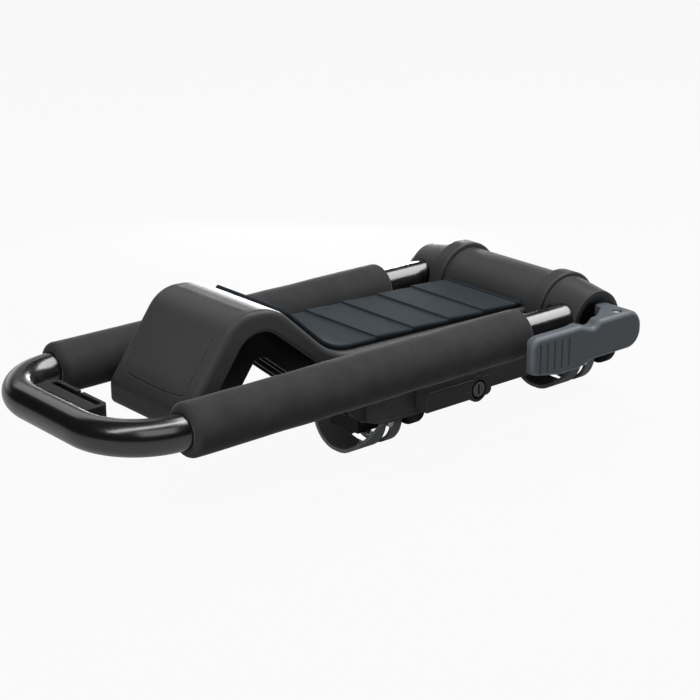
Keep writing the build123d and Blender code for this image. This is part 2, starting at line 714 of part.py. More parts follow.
def make_friction_discs():
    """Discs in the collars' outer faces, just clear of the knuckles."""
    high = BARREL_HALF + COLLAR_WIDTH + MOVING_GAP / 2
    low = high - DISC_THICK
    disc = on_hinge([
        (low, DISC_INNER_R), (low, DISC_OUTER_R), (high, DISC_OUTER_R), (high, DISC_INNER_R),
    ])
    return [mirrored(disc, side) for side in (-1, 1)]


def leg_socket():
    """Socket, shadow gap and screw hole of an arm leg, for the +X side."""
    front = HINGE_Y - KNUCKLE_R - FOAM_R
    socket = rod_y(TUBE_R + SEAT_GAP, LEG_X, ARM_Z, front, LEG_END_Y)
    arch = rod_y(TUBE_R + ARCH_GAP, LEG_X, ARM_Z, front, LEG_END_Y - ARCH_SET)
    screw = rod_z(LEG_SCREW_R + SEAT_GAP, LEG_X, LEG_SCREW_Y, HINGE_Z - KNUCKLE_R, ARM_Z)
    head = rod_z(
        2 * LEG_SCREW_R + SEAT_GAP, LEG_X, LEG_SCREW_Y, HINGE_Z - KNUCKLE_R, leg_screw_seat()
    )
    return socket + arch + screw + head


def leg_screw_seat():
    """Height of the shoulder that a leg screw's head bears on."""
    return ARM_Z - TUBE_R - ARCH_GAP - 2 * LEG_SCREW_R


def spigot_points():
    """Start of a knuckle's section: the spigot that turns in the collar, then its inner face."""
    bore = ROD_R + SEAT_GAP
    turn = SPIGOT_R - RUNNING_GAP
    start = BARREL_HALF - COLLAR_SEAT_DEPTH + MOVING_GAP
    return [(start, bore), (start, turn), (KNUCKLE_X, turn), (KNUCKLE_X, KNUCKLE_R)]


def make_near_knuckle():
    """Tapered knuckle whose open hood takes the cam lever's head."""
    floor = HOOD_X - HOOD_DEPTH
    spring_floor = floor - spring_stack_height()
    body = on_hinge(spigot_points() + [
        (HOOD_X, HOOD_RIM_R), (HOOD_X, HOOD_RIM_R - HOOD_WALL), (HOOD_X - HOOD_BEVEL, HOOD_WELL_R),
        (floor, HOOD_WELL_R), (floor, SPRING_R + SEAT_GAP), (spring_floor, SPRING_R + SEAT_GAP),
        (spring_floor, ROD_R + SEAT_GAP),
    ])
    return body - leg_socket()


def make_far_knuckle():
    """Tapered knuckle with a closed, rounded end, moulded round the rod's insert."""
    end = DOME_X + DOME_LENGTH
    end_r = KNUCKLE_R - KNUCKLE_TAPER * (end - KNUCKLE_X)
    outline = [(point, 0.0) for point in spigot_points()]
    outline += [
        ((end, end_r), DOME_R), ((end, 0), 0.0), ((DOME_X, 0), 0.0),
        ((DOME_X, ROD_R + SEAT_GAP), 0.0),
    ]
    body = Pos(0, HINGE_Y, HINGE_Z) * revolve(rounded(outline), Axis.X) - leg_socket()
    return mirror(body, Plane.YZ) - insert_blank()


def insert_span():
    return -DOME_X, -DOME_X + INSERT_LENGTH


def insert_blank():
    low, high = insert_span()
    return rod_x(INSERT_R, HINGE_Y, HINGE_Z, low, high)


def make_rod_insert():
    """Threaded insert in the far knuckle that the tie rod pulls on."""
    low, high = insert_span()
    return insert_blank() - rod_x(ROD_R + SEAT_GAP, HINGE_Y, HINGE_Z, low, high)


def make_tie_rod():
    """Rod through the hinge, ending in a flat eye for the lever's pin."""
    low = insert_span()[0]
    rod = rod_x(ROD_R, HINGE_Y, HINGE_Z, low, LEVER_PIN_X)
    eye = rod_z(EYE_R, LEVER_PIN_X, HINGE_Y, HINGE_Z - EYE_THICK / 2, HINGE_Z + EYE_THICK / 2)
    hole = rod_z(LEVER_PIN_R + RUNNING_GAP, LEVER_PIN_X, HINGE_Y, HINGE_Z - EYE_R, HINGE_Z + EYE_R)
    return rod + eye - hole


def spring_pitch():
    return SPRING_THICK + SPRING_RISE


def spring_stack_height():
    return SPRING_COUNT * spring_pitch()


def make_disc_springs():
    """Coned spring washers, stacked cup to cup under the thrust plate."""
    start = HOOD_X - HOOD_DEPTH - spring_stack_height()
    inner = ROD_R + SEAT_GAP
    springs = []
    for index in range(SPRING_COUNT):
        low = start + index * spring_pitch()
        inside, outside = (SPRING_RISE, 0.0) if index % 2 == 0 else (0.0, SPRING_RISE)
        springs.append(on_hinge([
            (low + inside, inner), (low + outside, SPRING_R),
            (low + outside + SPRING_THICK, SPRING_R), (low + inside + SPRING_THICK, inner),
        ]))
    return springs


def make_thrust_plate():
    """Hard plate on the hood's floor that the cam bears on."""
    low = HOOD_X - HOOD_DEPTH
    radius = HOOD_WELL_R - SEAT_GAP
    inner = ROD_R + SEAT_GAP
    return on_hinge([
        (low, inner), (low, radius), (low + THRUST_THICK, radius), (low + THRUST_THICK, inner),
    ])


def arm_path():
    """Centre line of the arm: leg, bend, crossbar, bend, leg."""
    return FilletPolyline(
        (LEG_X, LEG_END_Y, ARM_Z), (LEG_X, CROSSBAR_Y, ARM_Z),
        (-LEG_X, CROSSBAR_Y, ARM_Z), (-LEG_X, LEG_END_Y, ARM_Z),
        radius=BEND_R,
    )


def make_arm_tube():
    section = Plane(origin=(LEG_X, LEG_END_Y, ARM_Z), x_dir=(1, 0, 0), z_dir=(0, -1, 0))
    ring = Circle(TUBE_R) - Circle(TUBE_R - TUBE_WALL)
    tube = sweep(section * ring, path=arm_path())
    for side in (-1, 1):
        tube -= rod_z(
            LEG_SCREW_R + SEAT_GAP, side * LEG_X, LEG_SCREW_Y, ARM_Z - TUBE_R - PAST, ARM_Z
        )
        tube -= rod_y(
            RIVET_R + SEAT_GAP, side * RIVET_X, rivet_z(), CROSSBAR_Y, CROSSBAR_Y + 2 * TUBE_R
        )
    return tube


def make_foam(side):
    """Foam sleeve on one leg, with rounded ends."""
    inner = TUBE_R + SOFT_GAP
    length = FOAM_REAR_Y - FOAM_FRONT_Y
    section = polygon(
        [(inner, 0), (FOAM_R, 0), (FOAM_R, length), (inner, length)],
        [0.0, FOAM_ROUND, FOAM_ROUND, 0.0],
    )
    return Pos(side * LEG_X, FOAM_FRONT_Y, ARM_Z) * revolve(section, Axis.Y)


def guide_slot_front():
    return GUIDE_REAR_Y - GUIDE_REAR_WALL - GUIDE_SLOT


def rivet_z():
    return ARM_Z + GUIDE_TOP / 2


def make_strap_guide():
    """Block on the crossbar with a strap slot that opens through a gap in its rear wall."""
    slot_front = guide_slot_front()
    front = slot_front - GUIDE_FRONT - GUIDE_REAR_WALL
    top = ARM_Z + GUIDE_TOP
    body = block((-GUIDE_HALF, front, ARM_Z), (GUIDE_HALF, GUIDE_REAR_Y, top))
    body = fillet(body.edges().filter_by(Axis.Z).group_by(Axis.Y)[-1], GUIDE_CORNER)
    body -= rod_x(TUBE_R + SEAT_GAP, CROSSBAR_Y, ARM_Z, -GUIDE_HALF, GUIDE_HALF)
    slot = SlotOverall(2 * (GUIDE_HALF - GUIDE_END), GUIDE_SLOT)
    body -= along_z(Pos(0, slot_front + GUIDE_SLOT / 2) * slot, ARM_Z, top)
    body -= block((-GUIDE_GAP / 2, slot_front, ARM_Z), (GUIDE_GAP / 2, GUIDE_REAR_Y, top))
    for side in (-1, 1):
        x = side * RIVET_X
        body -= rod_y(RIVET_R + SEAT_GAP, x, rivet_z(), front, slot_front)
        body -= rod_y(RIVET_HEAD_R + SEAT_GAP, x, rivet_z(), slot_front - RIVET_HEAD, slot_front)
    return body


def make_guide_rivets():
    """Flush rivets from the guide's slot into the crossbar."""
    slot_front = guide_slot_front()
    rivets = []
    for side in (-1, 1):
        x = side * RIVET_X
        shank = rod_y(RIVET_R, x, rivet_z(), CROSSBAR_Y + TUBE_R / 2, slot_front)
        rivets.append(shank + rod_y(RIVET_HEAD_R, x, rivet_z(), slot_front - RIVET_HEAD, slot_front))
    return rivets


def make_leg_screws():
    """Screws from under the knuckles into the legs."""
    seat = leg_screw_seat()
    screws = []
    for side in (-1, 1):
        x = side * LEG_X
        head = rod_z(2 * LEG_SCREW_R, x, LEG_SCREW_Y, seat - 2 * LEG_SCREW_R, seat)
        screws.append(head + rod_z(LEG_SCREW_R, x, LEG_SCREW_Y, seat, ARM_Z - TUBE_R / 2))
    return screws


def lever_side():
    """Side view of the lever: round end at the pin, straight shank, dipped neck, deep paddle."""
    top, low = HINGE_Z + LEVER_TOP, HINGE_Z - LEVER_BOTTOM
    rear, tip = HINGE_Y + LEVER_REAR, HINGE_Y - LEVER_LENGTH
    neck, paddle = HINGE_Y - NECK_START, HINGE_Y - PADDLE_START
    deep = low - PADDLE_DROP
    return rounded([
        ((rear, top), LEVER_REAR_R), ((neck + NECK_LENGTH / 2, top), NECK_R),
        ((neck, top - NECK_DIP), NECK_R), ((paddle, top), NECK_R),
        ((tip, top), PADDLE_R), ((tip, deep + PADDLE_TIP_RISE), PADDLE_R),
        ((HINGE_Y - PADDLE_DEEP, deep), SHANK_R), ((paddle, deep), SHANK_R),
        ((neck, low), SHANK_R), ((rear, low), LEVER_REAR_R),
    ])


def cam_face_x():
    """Where the cam's flat lies while the lever is shut, just clear of the thrust plate."""
    return HOOD_X - HOOD_DEPTH + THRUST_THICK + MOVING_GAP


def lever_plan():
    """Top view of the lever: cam round the pin, slanted cheek, thin neck, thin paddle."""
    outer = LEVER_OUTER_X
    rear, tip = HINGE_Y + LEVER_REAR, HINGE_Y - LEVER_LENGTH
    neck, paddle = HINGE_Y - NECK_START, HINGE_Y - PADDLE_START
    face, nose = cam_face_x(), HINGE_Y - NOSE_SET
    return rounded([
        ((outer, rear), 0.0), ((face, rear), rear - nose - CAM_FLAT), ((face, nose), NOSE_R),
        ((face + CHEEK_RUN, HINGE_Y - CHEEK_SET), CHEEK_R / 2),
        ((outer - NECK_THICK, neck + NECK_LENGTH), CHEEK_R), ((outer - NECK_THICK, paddle), CHEEK_R),
        ((outer - PADDLE_THICK, paddle - NECK_LENGTH), CHEEK_R),
        ((outer - PADDLE_THICK, tip), PADDLE_THICK / 3), ((outer, tip), 0.0),
    ])


def lever_pin_low():
    return HINGE_Z - LEVER_BOTTOM + LEVER_FLOOR


def make_cam_lever():
    """Lever with a forked head, a pin bore and grip grooves on its paddle."""
    low, high = HINGE_Z - 2 * LEVER_BOTTOM, HINGE_Z + 2 * LEVER_TOP
    body = along_x(lever_side(), 0, 2 * LEVER_OUTER_X) & along_z(lever_plan(), low, high)
    outer = [edge for edge in body.edges() if abs(edge.center().X - LEVER_OUTER_X) < 0.01]
    body = fillet(outer, LEVER_ROUND)
    fork = EYE_THICK / 2 + MOVING_GAP
    slot = block(
        (0, HINGE_Y - EYE_R - MOVING_GAP, HINGE_Z - fork),
        (LEVER_PIN_X + EYE_R + MOVING_GAP, BASE_REAR, HINGE_Z + fork),
    )
    body = body - slot - rod_z(LEVER_PIN_R + SEAT_GAP, LEVER_PIN_X, HINGE_Y, lever_pin_low(), high)
    for index in range(GRIP_COUNT):
        y = HINGE_Y - LEVER_LENGTH + GRIP_START + index * GRIP_PITCH
        body -= block(
            (LEVER_OUTER_X - GRIP_DEPTH, y, HINGE_Z - LEVER_BOTTOM - PADDLE_DROP + GRIP_MARGIN),
            (LEVER_OUTER_X, y + GRIP_WIDTH, HINGE_Z + LEVER_TOP - GRIP_MARGIN),
        )
    return body


def make_lever_pin():
    high = HINGE_Z + LEVER_TOP - LEVER_PIN_SINK
    return rod_z(LEVER_PIN_R, LEVER_PIN_X, HINGE_Y, lever_pin_low(), high)


def lock_span():
    return HALF, HALF + LOCK_PROUD


def lock_screw_places():
    return [LOCK_FRONT_Y + set_back for set_back in LOCK_SCREW_SETS]


def make_lock_housing():
    """Box on the base's near side, with a round boss for the key cylinder."""
    low, high = lock_span()
    rear, top = LOCK_FRONT_Y + LOCK_LENGTH, LOCK_LOW + LOCK_HEIGHT
    face = polygon(
        [(LOCK_FRONT_Y, LOCK_LOW), (rear, LOCK_LOW), (rear, top), (LOCK_FRONT_Y, top)],
        [LOCK_BEVEL, LOCK_CORNER, LOCK_CORNER, LOCK_BEVEL],
    )
    body = along_x(face + Pos(LOCK_Y, LOCK_Z) * Circle(LOCK_BOSS_R), low, high)
    body = chamfer(body.faces().sort_by(Axis.X)[-1].edges(), LOCK_BEVEL)
    body -= rod_x(LOCK_R + RUNNING_GAP, LOCK_Y, LOCK_Z, low, high)
    body -= rod_x(LOCK_R + LOCK_RING, LOCK_Y, LOCK_Z, high - LOCK_RING, high)
    for y in lock_screw_places():
        body -= rod_x(LOCK_SCREW_R + SEAT_GAP, y, LOCK_Z, low, low + LOCK_PROUD / 2)
    return body


def make_lock_cylinder():
    """Key cylinder: face with a keyway, and a tail into the base."""
    low, high = lock_span()
    body = rod_x(LOCK_R, LOCK_Y, LOCK_Z, low + MOVING_GAP, high)
    body += rod_x(LOCK_TAIL_R, LOCK_Y, LOCK_Z, low - WALL - 2 * TONGUE_THICK, low + MOVING_GAP)
    return body - block(
        (high - KEYWAY_DEPTH, LOCK_Y - KEYWAY / 2, LOCK_Z - KEYWAY_HEIGHT / 2),
        (high, LOCK_Y + KEYWAY / 2, LOCK_Z + KEYWAY_HEIGHT / 2),
    )


def make_lock_tongue():
    """Tongue on the cylinder's tail, inside the base."""
    high = HALF - WALL - TONGUE_THICK / 2
    low = high - TONGUE_THICK
    plate = polygon(
        [(LOCK_Y - TONGUE_WIDTH, LOCK_Z - TONGUE_WIDTH), (LOCK_Y + TONGUE_WIDTH, LOCK_Z - TONGUE_WIDTH),
         (LOCK_Y + TONGUE_WIDTH, LOCK_Z + TONGUE_LENGTH), (LOCK_Y - TONGUE_WIDTH, LOCK_Z + TONGUE_LENGTH)],
        TONGUE_WIDTH / 2,
    )
    return along_x(plate - Pos(LOCK_Y, LOCK_Z) * Circle(LOCK_TAIL_R + SEAT_GAP), low, high)


def lock_passage():
    """Holes in the base's near wall for the cylinder's tail and the housing's screws."""
    low, high = HALF - 2 * WALL, HALF
    hole = rod_x(LOCK_TAIL_R + MOVING_GAP, LOCK_Y, LOCK_Z, low, high)
    for y in lock_screw_places():
        hole += rod_x(LOCK_SCREW_R + SEAT_GAP, y, LOCK_Z, low, high)
    return hole


def make_lock_screws():
    """Screws through the base's wall into the lock housing."""
    inside = HALF - WALL
    screws = []
    for y in lock_screw_places():
        head = rod_x(2 * LOCK_SCREW_R, y, LOCK_Z, inside - LOCK_SCREW_R, inside)
        screws.append(head + rod_x(LOCK_SCREW_R, y, LOCK_Z, inside, HALF + LOCK_PROUD / 2 - PAST))
    return screws


def save(name, solids):
    """Write a node's solid, or its group of like solids, to its own file."""
    group = solids if isinstance(solids, list) else [solids]
    pieces = [solid for item in group for solid in item.solids()]
    export_step(pieces[0] if len(pieces) == 1 else Compound(children=pieces), f"parts/{name}.step")


def main():
    os.makedirs("parts", exist_ok=True)
    front, rear = FOOT_SHIFTS
    save("base_body", make_base_body())
    save("deck_pad", make_deck_pad())
    save("front_saddle", make_saddle(front))
    save("rear_saddle", make_saddle(rear))
    save("front_strap", make_strap(front))
    save("rear_strap", make_strap(rear))
    save("strap_pins", make_strap_pins())
    save("hook_bolts", make_hook_bolts())
    save("hook_nuts", make_hook_nuts())
    save("near_collar", collar(1))
    save("far_collar", collar(-1))
    save("friction_discs", make_friction_discs())
    save("lock_housing", make_lock_housing())
    save("lock_screws", make_lock_screws())
    save("lock_cylinder", make_lock_cylinder())
    save("lock_tongue", make_lock_tongue())
    save("near_knuckle", make_near_knuckle())
    save("far_knuckle", make_far_knuckle())
    save("rod_insert", make_rod_insert())
    save("tie_rod", make_tie_rod())
    save("disc_springs", make_disc_springs())
    save("thrust_plate", make_thrust_plate())
    save("arm_tube", make_arm_tube())
    save("near_foam", make_foam(1))
    save("far_foam", make_foam(-1))
    save("strap_guide", make_strap_guide())
    save("guide_rivets", make_guide_rivets())
    save("leg_screws", make_leg_screws())
    save("cam_lever", make_cam_lever())
    save("lever_pin", make_lever_pin())


main()
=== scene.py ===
"""Dressed model of a folding J style kayak carrier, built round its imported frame."""

import math

import bpy
import numpy as np
from bpy.props import FloatProperty, FloatVectorProperty, PointerProperty
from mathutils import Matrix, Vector


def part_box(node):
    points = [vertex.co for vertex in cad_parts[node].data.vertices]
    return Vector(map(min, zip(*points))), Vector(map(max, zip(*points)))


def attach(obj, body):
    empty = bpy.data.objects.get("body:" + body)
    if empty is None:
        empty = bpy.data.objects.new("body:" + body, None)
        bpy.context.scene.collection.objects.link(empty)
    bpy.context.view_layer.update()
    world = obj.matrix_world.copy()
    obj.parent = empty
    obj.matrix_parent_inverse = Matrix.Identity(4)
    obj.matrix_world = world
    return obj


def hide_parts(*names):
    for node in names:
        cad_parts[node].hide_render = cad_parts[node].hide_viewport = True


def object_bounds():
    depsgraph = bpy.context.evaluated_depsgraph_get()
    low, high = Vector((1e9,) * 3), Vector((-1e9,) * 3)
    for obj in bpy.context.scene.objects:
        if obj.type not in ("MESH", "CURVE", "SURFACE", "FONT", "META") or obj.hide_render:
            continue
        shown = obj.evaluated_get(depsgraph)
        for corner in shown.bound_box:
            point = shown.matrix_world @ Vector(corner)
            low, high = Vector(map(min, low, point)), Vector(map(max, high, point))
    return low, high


bl_info = {
    "name": "Kayak carrier dresser",
    "version": (1, 0, 0),
    "blender": (4, 5, 0),
    "location": "3D View > Sidebar > Carrier",
    "description": "Dresses a folding J style kayak carrier with foam, rubber, plastic and metal",
    "category": "Object",
}

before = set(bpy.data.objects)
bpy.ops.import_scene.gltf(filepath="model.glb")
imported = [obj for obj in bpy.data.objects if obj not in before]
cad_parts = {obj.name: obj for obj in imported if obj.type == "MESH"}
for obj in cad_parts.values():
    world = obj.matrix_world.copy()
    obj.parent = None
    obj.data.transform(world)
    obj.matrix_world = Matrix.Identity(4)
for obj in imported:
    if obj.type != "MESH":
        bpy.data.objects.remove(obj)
CAD_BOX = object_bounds()
MM = 0.001
FULL_TURN = 2 * math.pi
QUARTER_TURN = math.pi / 2
WHITE = (1.0, 1.0, 1.0, 1.0)

# Samples of the two nodes that look round a point, and how sharply an edge's wear and painted
# highlight stand out
BEVEL_SAMPLES = 6
RECESS_SAMPLES = 8
EDGE_GAIN = 4.0
# Share of open sky at which the painted shade in a recess starts and at which it is darkest
RECESS_LIMITS = (0.5, 0.15)
RECESS_REACH = 60.0 * MM
# The hump's recessed webs, painted in shade: each pair is where their mask starts to rise and where
# it is full
WEB_FACING = (0.6, 0.9)
WEB_DEPTH = (44.0 * MM, 39.0 * MM)
WEB_FRONT = (-145.0 * MM, -160.0 * MM)
WEB_HEIGHT = (45.0 * MM, 60.0 * MM)

# Foam ripple: strength, turns round the sleeve, radians per metre along it, phase
FOAM_RIPPLES = ((1.0, 2, 46, 0.0), (0.7, 3, -97, 1.3), (0.5, 1, 151, 0.0))
RIPPLE_OFFSET = 1.2
MARK_FLATNESS = 3

# Floor and backdrop
FLOOR_REACH = 14.0
FLOOR_DROP = 0.4 * MM
FLOOR_GLOW = 0.94
FLOOR_IN_GLOSS = 0.25
BACKDROP_AIM = (-0.72, 0.62, 0.25)
BACKDROP_SPREAD = (0.5, 0.9)
BACKDROP_TOP = (0.28, 0.15)
SENSOR_WIDTH = 36.0
NEAR_CLIP = 0.01

# Lamps: name, place, aim, size, power in watts, whether reflections show it
LAMPS = (
    ("key_box", (0.12, 0.65, 1.06), (0.0, -0.08, 0.07), (1.1, 0.95), 16.2, True),
    ("top_strip", (0.2, -0.58, 1.1), (0.2, -0.58, 0.0), (0.22, 1.6), 7.0, True),
    ("left_box", (-0.95, -0.1, 0.8), (0.0, -0.3, 0.08), (0.8, 0.5), 1.2, True),
    ("crest_panel", (-0.54, 0.29, 0.13), (0.0, -0.225, 0.125), (0.34, 0.2), 2.6, True),
    ("fill_box", (1.15, -0.5, 1.2), (0.0, -0.1, 0.05), (1.2, 0.9), 4.9, True),
    ("front_panel", (0.25, -1.55, 0.2), (0.0, -0.1, 0.03), (0.9, 0.24), 6.6, False),
)


def settings():
    return bpy.context.scene.carrier


def colour_of(value):
    """A property's colour with full alpha."""
    return (value[0], value[1], value[2], 1.0)


class Field:
    """A node's output that takes part in Python arithmetic: each operator adds one Math node."""

    def __init__(self, finish, socket):
        self.finish = finish
        self.socket = socket

    def math(self, operation, first, second=0.0):
        return self.finish.node("ShaderNodeMath", {"operation": operation}, {0: first, 1: second})

    def __add__(self, other):
        return self.math("ADD", self, other)

    def __radd__(self, other):
        return self.math("ADD", other, self)

    def __sub__(self, other):
        return self.math("SUBTRACT", self, other)

    def __rsub__(self, other):
        return self.math("SUBTRACT", other, self)

    def __mul__(self, other):
        return self.math("MULTIPLY", self, other)

    def __rmul__(self, other):
        return self.math("MULTIPLY", other, self)

    def larger(self, other):
        return self.math("MAXIMUM", self, other)


class Nodes:
    """A node tree that starts empty. Every node comes from the same method."""

    def __init__(self, tree):
        self.tree = tree
        self.tree.nodes.clear()

    def node(self, kind, options=None, sockets=None, output=0):
        """Add a node: its options first, then its sockets' values or links."""
        made = self.tree.nodes.new(kind)
        for key, value in (options or {}).items():
            setattr(made, key, value)
        for key, value in (sockets or {}).items():
            if isinstance(value, Field):
                self.tree.links.new(value.socket, made.inputs[key])
            else:
                made.inputs[key].default_value = value
        return Field(self, made.outputs[output]) if made.outputs else None

    def ramp(self, value, low, high):
        """Smooth rise from 0 to 1 while the value goes from low to high."""
        return self.node("ShaderNodeMapRange", {"interpolation_type": "SMOOTHSTEP"}, {
            "Value": value, "From Min": low, "From Max": high,
        })

    def part(self, vector, axis):
        """One of a vector's three numbers."""
        return self.node("ShaderNodeSeparateXYZ", None, {"Vector": vector}, axis)

    def dot(self, first, second):
        options = {"operation": "DOT_PRODUCT"}
        return self.node("ShaderNodeVectorMath", options, {0: first, 1: second}, "Value")

    def light_path(self, output):
        return self.node("ShaderNodeLightPath", output=output)


class Finish(Nodes):
    """One material."""

    def __init__(self, name):
        self.material = bpy.data.materials.new(name)
        self.material.use_nodes = True
        super().__init__(self.material.node_tree)

    def place(self, scale=(1.0, 1.0, 1.0)):
        """Object coordinates, in metres of the carrier's own frame, stretched by scale."""
        coordinates = self.node("ShaderNodeTexCoord", output="Object")
        return self.node("ShaderNodeMapping", None, {"Vector": coordinates, "Scale": scale})

    def noise(self, where, scale, detail=2.0, roughness=0.5):
        return self.node("ShaderNodeTexNoise", None, {
            "Vector": where, "Scale": scale, "Detail": detail, "Roughness": roughness,
        })

    def cells(self, where, scale, output="Distance"):
        return self.node("ShaderNodeTexVoronoi", None, {"Vector": where, "Scale": scale}, output)

    def blend(self, factor, first, second):
        """Colour between first and second: a colour Mix node takes them on sockets 6 and 7."""
        sockets = {0: factor, 6: first, 7: second}
        return self.node("ShaderNodeMix", {"data_type": "RGBA"}, sockets, 2)

    def soft_edge(self, radius):
        """Normal that rounds every edge by the radius."""
        return self.node("ShaderNodeBevel", {"samples": BEVEL_SAMPLES}, {"Radius": radius})

    def edge_mask(self, rounded):
        """0 on flats, rising where the rounded normal leaves the face's own."""
        normal = self.node("ShaderNodeNewGeometry", output="Normal")
        along = self.dot(rounded, normal)
        return self.node("ShaderNodeClamp", None, {"Value": (1.0 - along) * EDGE_GAIN})

    def recess_shade(self, reach):
        """Painted shade mask: 0 in the open, rising to 1 where other faces within reach close in on
        the surface, as shade falls there.
        """
        options = {"samples": RECESS_SAMPLES}
        clear = self.node("ShaderNodeAmbientOcclusion", options, {"Distance": reach}, "AO")
        return self.ramp(clear, *RECESS_LIMITS)

    def bump(self, height, distance, strength=1.0, normal=None):
        sockets = {"Height": height, "Distance": distance, "Strength": strength}
        if normal is not None:
            sockets["Normal"] = normal
        return self.node("ShaderNodeBump", None, sockets)

    def surface(self, sockets):
        shader = self.node("ShaderNodeBsdfPrincipled", None, sockets)
        self.node("ShaderNodeOutputMaterial", None, {"Surface": shader})
        return self.material


def toned(colour, factor, lift=0.0):
    """The colour made darker or paler, kept within 0 and 1."""
    return tuple(min(channel * factor + lift, 1.0) for channel in colour[:3]) + (1.0,)


def swing(field, amount):
    """The field's departure from its middle, 0.5, times the amount."""
    return (field - 0.5) * amount


def arch_web(finish):
    """1 on the hump's upright webs, which stand back in the shade of its side bands, else 0.

    The photograph shows them black, so this paints that shade into the colour.
    """
    coordinates = finish.node("ShaderNodeTexCoord", output="Object")
    normal = finish.node("ShaderNodeTexCoord", output="Normal")
    x, y, z = (finish.part(coordinates, axis) for axis in "XYZ")
    facing = finish.part(normal, "X")
    upright = finish.ramp(facing * facing, *WEB_FACING)
    deep = finish.ramp(x * x, WEB_DEPTH[0] ** 2, WEB_DEPTH[1] ** 2)
    return upright * deep * finish.ramp(y, *WEB_FRONT) * finish.ramp(z, *WEB_HEIGHT)


def moulded(name, colour, roughness, edge=0.7 * MM, recess_shade_tone=0.2, shaded=None):
    """Satin moulded plastic: fine grain, slow drift in tone, edges burnished and paler with painted
    highlight, painted shade in recesses.
    """
    finish = Finish(name)
    where = finish.place()
    fine = finish.noise(where, scale=2300.0, detail=2.0, roughness=0.6)
    coarse = finish.noise(where, scale=900.0, detail=1.0)
    drift = finish.noise(where, scale=17.0, detail=3.0)
    rounded = finish.soft_edge(edge)
    wear_and_highlight = finish.edge_mask(rounded)
    body = finish.blend(drift, toned(colour, 0.86), toned(colour, 1.14))
    # Painted shade: the colour darkens where other faces close in, as shade falls in recesses and
    # gaps
    recess_shade = finish.recess_shade(RECESS_REACH)
    if shaded is not None:
        recess_shade = recess_shade.larger(shaded(finish))
    body_with_shade = finish.blend(recess_shade, body, toned(colour, recess_shade_tone))
    grain = fine * 0.6 + coarse * 0.4
    return finish.surface({
        # Edges paler and glossier: wear, with painted highlight in the paleness
        "Base Color": finish.blend(wear_and_highlight * 0.8, body_with_shade, toned(colour, 1.8, lift=0.01)),
        "Roughness": roughness + swing(drift, 0.12) + swing(fine, 0.08) - wear_and_highlight * 0.06,
        "Normal": finish.bump(grain, distance=0.02 * MM, normal=rounded),
        "Specular IOR Level": 0.12,
    })


def rimmed_plastic(name, colour, roughness):
    """Grained plastic whose rounded rim round the flat outer face is paler, a painted highlight,
    and whose edges are paler with wear and painted highlight.
    """
    finish = Finish(name)
    where = finish.place()
    fine = finish.noise(where, scale=2300.0, detail=2.0, roughness=0.6)
    drift = finish.noise(where, scale=21.0, detail=3.0)
    rounded = finish.soft_edge(1.2 * MM)
    wear_and_highlight = finish.edge_mask(rounded)
    normal = finish.node("ShaderNodeTexCoord", output="Normal")
    outward = finish.part(normal, "X")
    # Painted highlight: the rounded rim is paler by the way it faces
    rim_highlight = finish.ramp(outward, low=0.1, high=0.5) * finish.ramp(outward, low=0.995, high=0.9)
    body = finish.blend(drift, toned(colour, 0.9), toned(colour, 1.1))
    return finish.surface({
        "Base Color": finish.blend(rim_highlight.larger(wear_and_highlight * 0.6), body, toned(colour, 1.4)),
        "Roughness": roughness + swing(drift, 0.1) - rim_highlight * 0.1,
        "Normal": finish.bump(fine, distance=0.02 * MM, normal=rounded),
        "Specular IOR Level": 0.12,
    })


def rubber(name, colour, roughness):
    """Moulded rubber: pebbled skin, dusty high spots, dull sheen."""
    finish = Finish(name)
    where = finish.place()
    pebble = finish.cells(where, scale=620.0)
    dust = finish.noise(where, scale=38.0, detail=5.0, roughness=0.62)
    rounded = finish.soft_edge(0.8 * MM)
    wear_and_highlight = finish.edge_mask(rounded)
    body = finish.blend(dust, toned(colour, 0.88), toned(colour, 1.12))
    return finish.surface({
        # Edges paler: wear and painted highlight
        "Base Color": finish.blend(wear_and_highlight * 0.5, body, toned(colour, 1.4, lift=0.006)),
        "Roughness": roughness + swing(dust, 0.16),
        "Normal": finish.bump(pebble, distance=0.05 * MM, strength=0.8, normal=rounded),
        "Specular IOR Level": 0.02,
    })


def coated_tube(name, colour):
    """Gloss black coat on drawn tube: faint orange peel, and slight drift in gloss."""
    finish = Finish(name)
    where = finish.place()
    peel = finish.noise(where, scale=420.0, detail=1.0)
    drift = finish.noise(where, scale=23.0, detail=3.0)
    return finish.surface({
        "Base Color": finish.blend(drift, colour, toned(colour, 1.6)),
        "Roughness": 0.24 + swing(drift, 0.08),
        "Normal": finish.bump(peel, distance=0.003 * MM, strength=0.3),
        "Specular IOR Level": 0.9,
        "Coat Weight": 0.6,
        "Coat Roughness": 0.17,
    })


def closed_cell_foam(name, colour):
    """Soft closed-cell foam: skinned cells, broad blotches and a velvety bloom."""
    finish = Finish(name)
    where = finish.place()
    cell = finish.cells(where, scale=750.0)
    crumb = finish.noise(where, scale=1500.0, detail=3.0, roughness=0.65)
    blotch = finish.noise(where, scale=70.0, detail=3.0, roughness=0.55)
    patches = blotch * 0.75 + crumb * 0.25
    pores = cell * 0.6 + crumb * 0.4
    return finish.surface({
        "Base Color": finish.blend(patches, toned(colour, 0.62), toned(colour, 1.38)),
        "Roughness": 0.86 + swing(blotch, 0.1),
        "Normal": finish.bump(pores, distance=0.16 * MM, strength=0.7),
        "Specular IOR Level": 0.03,
        "Sheen Weight": 0.3,
        "Sheen Roughness": 0.3,
    })


